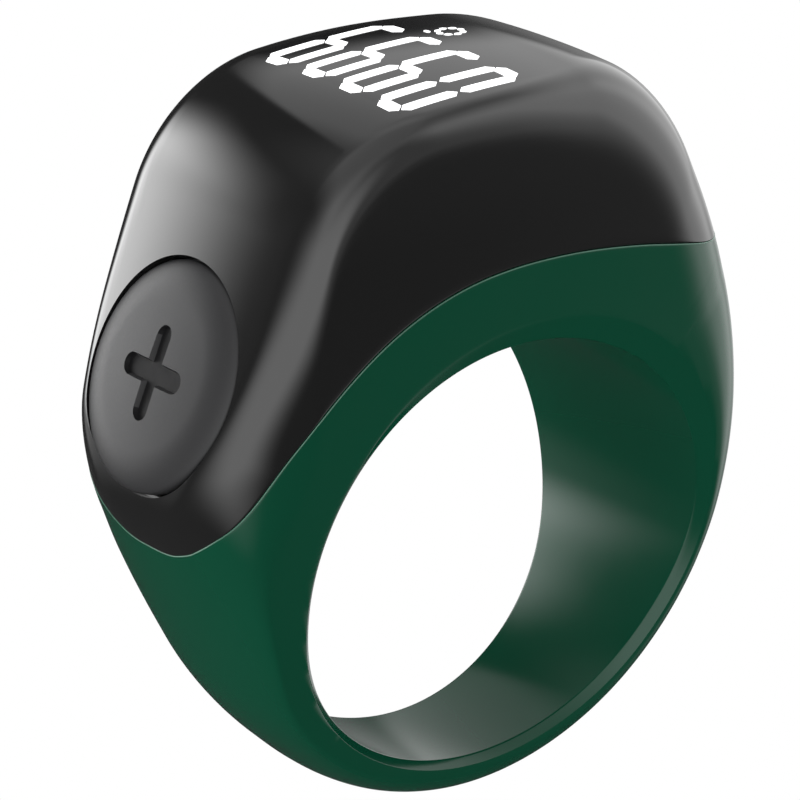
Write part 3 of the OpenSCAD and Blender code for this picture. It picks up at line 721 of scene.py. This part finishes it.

# %% [markdown]
# ## Charcoal ABS, fine satin
# The button is dyed grey-black and left matt, so that a thumb finds it by touch. Its wide, dull
# highlight sets it off from the gloss around it. Its grain is finer than a pixel, so it is drawn
# coarser, at 0.12 mm. The sign sunk into it is painted near black, as a black enamel fill and as
# painted shade in its recess, so that it reads as a clean dark figure.

# %% The button's finish
charcoal_abs = finish("abs_charcoal_fine_satin", "#303031", "#2b2b2c", (0.36, 0.42), 0.12, 0.0006,
                      IOR=1.5, Specular_IOR_Level=0.2)
# The sign's near-black fill: black enamel, and painted shade in its recess
sign_fill_and_painted_shade = finish("enamel_black_filled_in", "#101011", "#131314", (0.5, 0.6), 0.4, 0.0,
                    IOR=1.5, Specular_IOR_Level=0.12)
print(charcoal_abs.name, sign_fill_and_painted_shade.name)

# %% [markdown]
# ## The button's line
# The cap is a turned shape: one line of points wound once round an axis, so a change of the line
# changes the whole button. The line runs from the middle of the face over the rim, down the wall
# and in to the stem, with the groove for the clip that holds the button in.

# %% Draw the button's line
dome, roll_w, roll_h = 0.25, 1.7, 0.45
stem_end, stem_edge, cap_edge, cap_edge_mid = under_z - 1.8, 0.05, 0.1, 0.03
clip_top, clip_h, clip_groove_r = web_z - 0.1, 0.3, 1.15
# A soft dome that rolls over, ever faster, into the wall of the cap
r = np.concatenate([np.linspace(0, button_r - roll_w, 16)[:-1],
                    button_r - roll_w * (1 - np.sin(np.linspace(0, pi / 2, 32)))])
roll = np.clip((r - button_r + roll_w) / roll_w, 0, 1)
z = rim_z + dome * (1 - (r / button_r) ** 2) - roll_h * (1 - np.sqrt(1 - roll ** 2))
line = list(zip(r, z))
line += [(button_r, under_z + cap_edge), (button_r - cap_edge_mid, under_z + cap_edge_mid),
         (button_r - cap_edge, under_z),
         (stem_r, under_z), (stem_r, clip_top), (clip_groove_r, clip_top),
         (clip_groove_r, clip_top - clip_h), (stem_r, clip_top - clip_h),
         (stem_r, stem_end + stem_edge), (stem_r - stem_edge, stem_end), (0, stem_end)]
button = wire_piece("button", [(r, 0, z) for r, z in line],
                    [(i, i + 1) for i in range(len(line) - 1)])
print("the button's line has", len(line), "points")

# %% [markdown]
# ## Winding it round
# The tree makes a grid with a row for each point of the line and a column for each step round. It
# turns each row's point by its column's share of a full turn. A lathe would do the same, and the
# number of steps stays one named input.

# %% Wind the line round
steps_round, weld = 192, 0.001 * MM
turned, start = new_tree("turned part", Steps_round=steps_round, Steps_down=2)
columns = add(turned, "ShaderNodeMath", {0: start["Steps round"], 1: 1.0}, operation="ADD")
rows = add(turned, "GeometryNodeMeshGrid", {
    "Vertices X": start["Steps down"], "Vertices Y": columns, "Size X": 1.0, "Size Y": 1.0})
index = add(turned, "GeometryNodeInputIndex")
row_place = add(turned, "ShaderNodeMath", {0: index, 1: columns}, operation="DIVIDE")
row = add(turned, "ShaderNodeMath", {0: row_place}, operation="FLOOR")
column = add(turned, "ShaderNodeMath", {0: index, 1: columns}, operation="MODULO")
share = add(turned, "ShaderNodeMath", {0: column, 1: start["Steps round"]}, operation="DIVIDE")
angle = add(turned, "ShaderNodeMath", {0: share, 1: 2 * pi}, operation="MULTIPLY")
drawn = add(turned, "GeometryNodeSampleIndex", {
    "Geometry": start["Mesh"], "Value": add(turned, "GeometryNodeInputPosition"),
    "Index": row}, data_type="FLOAT_VECTOR")
wound = add(turned, "ShaderNodeVectorRotate", {"Vector": drawn, "Angle": angle},
            rotation_type="Z_AXIS")
moved = add(turned, "GeometryNodeSetPosition", {"Geometry": rows, "Position": wound})
welded = add(turned, "GeometryNodeMergeByDistance", {"Geometry": moved, "Distance": weld})
end_tree(turned, welded, charcoal_abs)
grow(button, turned, charcoal_abs, Steps_round=steps_round, Steps_down=len(line))
flat = np.empty(3 * len(button.data.vertices))
button.data.vertices.foreach_get("co", flat)
button.data.vertices.foreach_set("co", (at_button(flat.reshape(-1, 3) / MM) * MM).ravel())
print("the button has", len(button.data.polygons), "faces")

# %% [markdown]
# ## The plus sign
# It says what the button does: it adds one. It is sunk into the face, as an engraver would do it in
# the mould, by a stamp with leaning walls, and the faces inside it get the near-black enamel, which
# also paints the shade of the recess.

# %% Engrave the plus sign
plus_half, arm_half, plus_depth, wall_lean = 2.1, 0.5, 0.24, 0.1
# Faces this far below the top of the dome, and no further out than this past the arms, get the
# dark fill, which is painted shade in the sunk sign as well as enamel
dark_sign_depth, dark_sign_margin = 0.06, 0.2


def plus(half, arm, count=10):
    """The outline of a plus sign with round ends to its arms."""
    a = np.linspace(-pi / 2, pi / 2, count)
    tip = np.stack([half - arm + arm * np.cos(a), arm * np.sin(a)], 1)
    one_arm = np.concatenate([tip, [(arm, arm)]])
    turns = [np.array([(cos(k), sin(k)), (-sin(k), cos(k))]) for k in (0, pi / 2, pi, 3 * pi / 2)]
    return np.concatenate([one_arm @ turn for turn in turns])


face_z = rim_z + dome
upper = plus(plus_half + wall_lean, arm_half + wall_lean)
lower = plus(plus_half - wall_lean, arm_half - wall_lean)
n = len(upper)
points = [(x, y, face_z + plus_depth) for x, y in upper] + \
         [(x, y, face_z - plus_depth) for x, y in lower]
stamp = mesh_piece("stamp", at_button(points), [
    tuple(range(n)), tuple(range(n, 2 * n))[::-1],
    *[(i, n + i, n + (i + 1) % n, (i + 1) % n) for i in range(n)]])
carve(button, "DIFFERENCE", stamp)
paint(button, charcoal_abs, sign_fill_and_painted_shade)
dark_sign_faces = 0
for face in button.data.polygons:
    x, y, z = face.center / MM
    height = x * sin(face_turn) + z * cos(face_turn) - left_d
    up_face = x * cos(face_turn) - z * sin(face_turn) - button_shift
    if 0 < height < face_z - dark_sign_depth and np.hypot(up_face, y) < plus_half + dark_sign_margin:
        face.material_index = 1
        dark_sign_faces += 1
print("the button has", len(button.data.polygons), "faces,", dark_sign_faces, "of them in its sign")

# %% [markdown]
# ## The figures on the display
# The display shines through the skin: four figures of up to seven strokes each, lying along the
# finger's side, and a small ring of beads as its sign. Every stroke is the same little block with
# its own place, length, width and turn, so a short list holds them all.

# %% List the strokes
figures, stroke_w, figure_pitch, first_y = "6660", 0.63, 2.72, 3.68
rows_x, side_y, stroke_l, bar_l = (-4.42, -1.39, 1.54), 0.73, 2.84, 1.38
beads, bead_ring, bead_x, bead_y, bead_l, bead_w = 8, 0.55, 3.15, 1.72, 0.4, 0.27
bead_tail = (2.36, 2.32, pi / 2, 0.42, 0.2)
# Place, turn, length and width of each stroke; some figures lack one
strokes = []
for k, figure in enumerate(figures):
    y = first_y - k * figure_pitch
    for row_x in rows_x:
        if not (figure == "0" and row_x == rows_x[1]):
            strokes.append((row_x, y, pi / 2, bar_l, stroke_w))
    for gap in (0, 1):
        for side in (-1, 1):
            if not (figure == "6" and gap == 1 and side == -1):
                x = (rows_x[gap] + rows_x[gap + 1]) / 2
                strokes.append((x, y + side * side_y, 0, stroke_l, stroke_w))
for a in np.arange(beads) / beads * 2 * pi:
    strokes.append((bead_x + bead_ring * cos(a), bead_y + bead_ring * sin(a), a + pi / 2,
                    bead_l, bead_w))
strokes.append(bead_tail)
strokes = np.array(strokes)
lit = wire_piece("figures", [(x, y, 0) for x, y in strokes[:, :2]])
for label, column in (("turn", 2), ("long", 3), ("wide", 4)):
    lit.data.attributes.new(label, "FLOAT", "POINT").data.foreach_set("value", strokes[:, column])
print(len(strokes), "strokes for", figures)

# %% [markdown]
# ## Laying them on the skin
# A tree sets a copy of one block on each point, shapes it by that point's own values, and lays it
# on the curved skin with a ray from above. Bending each by hand would never be even.

# %% Lay the strokes on the skin
# Rays start this high and reach this far down, in metres
ray_from, ray_reach = 0.03, 0.05
# How much of its width a stroke loses in length at its edges, so that both ends are pointed
point_share = 0.9
# White light that the dyed skin lets through: the strokes glow evenly
lamp_white = finish("display_light_through_skin", "#f4f6f8", "#ffffff", (0.2, 0.24), 0.4, 0.0,
                    Emission_Color=hex_colour("#ffffff"), Emission_Strength=1.1)
laid, start = new_tree("strokes on the skin", Skin="Object", Thickness=0.02 * MM,
                       Lift=0.012 * MM)
block_mesh = add(laid, "GeometryNodeMeshCube", {
    "Size": (1, 2, 1), "Vertices X": 9, "Vertices Y": 5, "Vertices Z": 2})
shape = add(laid, "GeometryNodeStoreNamedAttribute", {
    "Geometry": block_mesh.outputs[0], "Name": "own",
    "Value": add(laid, "GeometryNodeInputPosition").outputs[0]}, data_type="FLOAT_VECTOR")
copies = add(laid, "GeometryNodeInstanceOnPoints", {
    "Points": start["Mesh"], "Instance": shape.outputs[0]})
middle = add(laid, "GeometryNodeStoreNamedAttribute", {
    "Geometry": copies.outputs[0], "Name": "middle",
    "Value": add(laid, "GeometryNodeInputPosition").outputs[0]},
    data_type="FLOAT_VECTOR", domain="INSTANCE")
real = add(laid, "GeometryNodeRealizeInstances", {0: middle.outputs[0]})
stored = {label: add(laid, "GeometryNodeInputNamedAttribute", {"Name": label}, data_type=kind)
          for label, kind in (("own", "FLOAT_VECTOR"), ("middle", "FLOAT_VECTOR"),
                              ("turn", "FLOAT"), ("long", "FLOAT"), ("wide", "FLOAT"))}
own = add(laid, "ShaderNodeSeparateXYZ", {0: stored["own"]}).outputs
point = add(laid, "ShaderNodeMath", {0: stored["wide"], 1: point_share}, operation="MULTIPLY")
off_middle = add(laid, "ShaderNodeMath", {0: own[1]}, operation="ABSOLUTE")
shorter = add(laid, "ShaderNodeMath", {0: point, 1: off_middle}, operation="MULTIPLY")
length = add(laid, "ShaderNodeMath", {0: stored["long"], 1: shorter}, operation="SUBTRACT")
along = add(laid, "ShaderNodeMath", {0: own[0], 1: length}, operation="MULTIPLY")
half_wide = add(laid, "ShaderNodeMath", {0: stored["wide"], 1: 0.5}, operation="MULTIPLY")
sideways = add(laid, "ShaderNodeMath", {0: own[1], 1: half_wide}, operation="MULTIPLY")
flat_place = add(laid, "ShaderNodeCombineXYZ", {
    0: add(laid, "ShaderNodeMath", {0: along, 1: MM}, operation="MULTIPLY"),
    1: add(laid, "ShaderNodeMath", {0: sideways, 1: MM}, operation="MULTIPLY"), 2: ray_from})
turned_place = add(laid, "ShaderNodeVectorRotate", {
    "Vector": flat_place, "Angle": stored["turn"]}, rotation_type="Z_AXIS")
above = add(laid, "ShaderNodeVectorMath", {0: turned_place, 1: stored["middle"]},
            operation="ADD")
skin_info = add(laid, "GeometryNodeObjectInfo", {"Object": start["Skin"]})
landed = add(laid, "GeometryNodeRaycast", {
    "Target Geometry": skin_info.outputs["Geometry"], "Source Position": above,
    "Ray Direction": (0, 0, -1), "Ray Length": ray_reach}).outputs["Hit Position"]
thick = add(laid, "ShaderNodeMath", {0: own[2], 1: start["Thickness"]}, operation="MULTIPLY")
height = add(laid, "ShaderNodeMath", {0: start["Lift"], 1: thick}, operation="ADD")
raised = add(laid, "ShaderNodeVectorMath", {
    0: landed, 1: add(laid, "ShaderNodeCombineXYZ", {2: height})}, operation="ADD")
placed = add(laid, "GeometryNodeSetPosition", {
    "Geometry": real.outputs[0], "Position": raised.outputs[0]})
end_tree(laid, placed.outputs[0], lamp_white)
grow(lit, laid, lamp_white, Skin=shell)
print(len(lit.data.polygons), "faces, top at",
      round(max(v.co.z for v in lit.data.vertices) / MM, 3), "mm")

# %% [markdown]
# ## The parts inside
# The solids inside keep their own meshes. They are small bought parts, and each has a finish of
# its own, in case someone opens the ring. No grain is drawn finer than 0.04 mm, because it
# wouldn't show even close up.

# %% Finish the parts inside
inner_finishes = {
    # Seals and pads: silicone rubber, moulded; dull, with hardly a highlight
    "seal_rubber": finish("silicone_rubber_moulded", "#1b1b1b", "#141414", (0.6, 0.75), 0.1),
    # Clip, tabs, crystal can and motor: stamped steel, bright, its grain drawn out along Y
    "spring_steel": finish("stainless_steel_stamped", "#c9cacd", "#b2b4b8", (0.22, 0.38), 0.05,
                           stretch=(1, 0.1, 1), Metallic=1),
    # Switch case: moulded nylon, nearly black with a soft sheen
    "switch_plastic": finish("nylon_black_moulded", "#242424", "#1c1c1c", (0.4, 0.5), 0.08),
    # Plunger: moulded acetal, ivory and smooth, so that it slides
    "plunger_plastic": finish("acetal_ivory_moulded", "#e2dcc8", "#d6cfb8", (0.3, 0.4), 0.1),
    # Boards: glass laminate under solder mask, a glossy green with a fine ripple
    "board_laminate": finish("glass_laminate_green_solder_mask", "#1d6b3c", "#175a32", (0.2, 0.3),
                             0.15, 0.004),
    # Flex strips and the insulating sheet: polyimide film, a shiny amber
    "flex_film": finish("polyimide_film_amber", "#b3762a", "#9c621d", (0.15, 0.25), 0.4, 0.001),
    # Display: glass bonded over a dark panel, a sharp mirror on near black
    "display_glass": finish("display_glass_bonded", "#0d0e10", "#101114", (0.04, 0.07), 1.5, 0.0),
    # Bracket: glass-filled nylon, grey and a little rough
    "carrier_plastic": finish("glass_filled_nylon_grey", "#8a8a8c", "#77777a", (0.45, 0.6), 0.06),
    # Chips: moulding epoxy, a flat matt black
    "chip_epoxy": finish("moulding_epoxy_matt", "#252526", "#1e1e1f", (0.5, 0.65), 0.04),
    # Antenna: fired ceramic, cream with a faint sheen
    "antenna_ceramic": finish("ceramic_fired_cream", "#cfc3a6", "#bfb190", (0.35, 0.5), 0.06),
    # Small components: fired ceramic, brown with a faint sheen
    "component_ceramic": finish("ceramic_fired_brown", "#9a7a52", "#8a6b45", (0.4, 0.5), 0.05),
    # Cell: laminated foil, a soft metal sheen over slight wrinkles
    "cell_foil": finish("aluminium_laminate_foil", "#c3c6ca", "#aeb1b6", (0.25, 0.45), 0.3, 0.01,
                        Metallic=1),
    # The motor's weight: sintered tungsten, a dull grey metal
    "weight_metal": finish("tungsten_sintered", "#8d8d90", "#7a7a7d", (0.4, 0.55), 0.05,
                           Metallic=1),
    # Leads: extruded insulation, an even red with a soft sheen
    "lead_plastic": finish("wire_insulation_red", "#b22a1c", "#9c2216", (0.35, 0.45), 0.1),
    # Charging contacts: gold plate, a warm, bright metal
    "gold_plating": finish("gold_plated_contact", "#e2b24c", "#d4a23c", (0.15, 0.28), 0.05,
                           0.0005, Metallic=1),
}
for part in frame["record"]["subparts"]:
    if part["material_slot"] in inner_finishes:
        paint(frame["nodes"][part["node"]], inner_finishes[part["material_slot"]])
print(len(inner_finishes), "finishes inside")

# %% [markdown]
# ## Smooth skins
# A moulded skin shades smoothly, and turns sharply only at true edges. Marking edges by their
# angle keeps both.

# %% Shade the pieces and join them to the moving bodies
sharp_turn = radians(35)
paint(band, green_abs)
paint(shell, black_skin)
for piece, body, node_name, slot_name in (
        (band, "ring", "ring_body", "band_plastic"), (shell, "ring", "head_shell", "shell_plastic"),
        (button, "button", "count_button", "button_plastic"), (lit, "ring", None, "display_glass"),
        (bead, "ring", None, "band_plastic")):
    piece.data.polygons.foreach_set("use_smooth", [True] * len(piece.data.polygons))
    piece.data.set_sharp_from_angle(angle=sharp_turn)
    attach(piece, body)
    if node_name:
        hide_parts(node_name)
    print(piece.name, "rides on the", body)

# %% [markdown]
# ## Light
# Black gloss shows nothing but its lamps, so their places were worked out backwards: from each
# highlight in the photograph, off the skin, to where its light must be. That gave eight soft boxes,
# three of them dim. Area lamps as wide as these would crowd a ring of three centimetres, so the
# world shader holds them, as soft-edged patches of its sky.

# %% Paint the soft boxes on the sky
world = bpy.data.worlds.new("studio")
bpy.context.scene.world = world
world.use_nodes = True
tree = world.node_tree
sky = add(tree, "ShaderNodeTexCoord").outputs["Generated"]


def towards(turn, height):
    """A direction: its turn from the front towards +X, and its height, in degrees."""
    t, h = radians(turn), radians(height)
    return Vector((sin(t) * cos(h), -cos(t) * cos(h), sin(h)))


def soft_box(glow, corners, fades):
    """A glowing patch between corner directions; each side fades over its own degrees."""
    directions = [towards(*corner) for corner in corners]
    middle = sum(directions, Vector())
    strength = glow
    for a, b, fade in zip(directions, directions[1:] + directions[:1], fades):
        side = a.cross(b).normalized()
        side = side if side.dot(middle) > 0 else -side
        depth = add(tree, "ShaderNodeVectorMath", {0: sky, 1: side}, operation="DOT_PRODUCT")
        ramp = add(tree, "ShaderNodeMapRange", {
            "Value": depth.outputs["Value"], "From Min": sin(radians(-fade)),
            "From Max": sin(radians(fade))}, interpolation_type="SMOOTHSTEP")
        strength = add(tree, "ShaderNodeMath", {0: strength, 1: ramp}, operation="MULTIPLY")
    return strength


boxes = {
    "overhead": soft_box(1.05, [(-60, 34), (28, 45), (119, 55), (-153, 41.5)], [13] * 4),
    "front left": soft_box(2.6, [(-93, -27.5), (5, -5), (0, 33), (-90, 36)], [13, 16, 29, 38]),
    "front, dim": soft_box(0.5, [(-5, -19), (39, -5), (39, 46), (-6, 46)], [7, 5.5, 16, 10]),
    "right": soft_box(2.35, [(51, -36), (97, -37), (101, 48), (28, 48)], [12, 16, 13.5, 14]),
    "right, dim": soft_box(0.85, [(93, -25), (138, -25), (138, 43), (87, 44)], [8, 8, 11, 10.5]),
    "back right": soft_box(0.83, [(137, -7.5), (154, 15), (168, 31), (184, 38.5), (182, 58),
                                  (100, 59.5), (101, -11)], [1, 1, 2.5, 9, 16, 15, 4]),
    "back left": soft_box(7.2, [(-168, -5), (-141, -4), (-155, 27), (-170, 27)], [8.5, 10, 8, 9]),
    "back left, dim": soft_box(0.6, [(-173, -22), (-140, -16.5), (-147, 22), (-178, 25)],
                               [8, 12, 7, 7]),
}
print(len(boxes), "soft boxes")

# %% [markdown]
# ## What each ray sees
# The camera alone sees plain white, and only the gloss sees the boxes. The dull colour beneath
# takes a plain wash, stronger from the left, as a white room would give it. So green stays deep.

# %% Give each kind of ray its sky
sky_glow, wash_from, wash_low, wash_high = 0.04, towards(-110, -10), 0.85, 1.95
glow = sky_glow
for strength in boxes.values():
    glow = add(tree, "ShaderNodeMath", {0: glow, 1: strength}, operation="ADD")
leftward = add(tree, "ShaderNodeVectorMath", {0: sky, 1: wash_from}, operation="DOT_PRODUCT")
wash = add(tree, "ShaderNodeMapRange", {
    "Value": leftward.outputs["Value"], "To Min": wash_low, "To Max": wash_high})
rays = add(tree, "ShaderNodeLightPath").outputs
even = add(tree, "ShaderNodeMix", {0: rays["Is Diffuse Ray"], 2: glow, 3: wash.outputs[0]},
           data_type="FLOAT").outputs[0]
white = add(tree, "ShaderNodeMix", {0: rays["Is Camera Ray"], 2: even, 3: 1.0},
            data_type="FLOAT").outputs[0]
tree.nodes["Background"].inputs["Color"].default_value = (1, 1, 1, 1)
tree.links.new(white, tree.nodes["Background"].inputs["Strength"])
# With its own sampling the sky would light the colour by its boxes too, whatever the ray
world.cycles.sampling_method = "NONE"
bpy.context.scene.view_settings.view_transform = "Standard"
print("the wash runs from", wash_low, "to", wash_high)

# %% [markdown]
# ## Floor
# The photograph shows no floor and no shadow. A small pale one lies well below the ring, outside
# the picture, and keeps the shadow for whoever looks from above. The gloss doesn't mirror it.

# %% Lay the floor
floor_r, floor_z = 45, -45
edge_line = disc(floor_r)
floor = mesh_piece("floor", [(x, y, floor_z) for x, y in edge_line], [range(len(edge_line))])
paint(floor, finish("floor_painted_board", "#f2f2f2", "#eeeeee", (0.7, 0.8), 2))
floor.visible_glossy = False
print("the floor lies", -floor_z, "mm below the finger hole's middle")
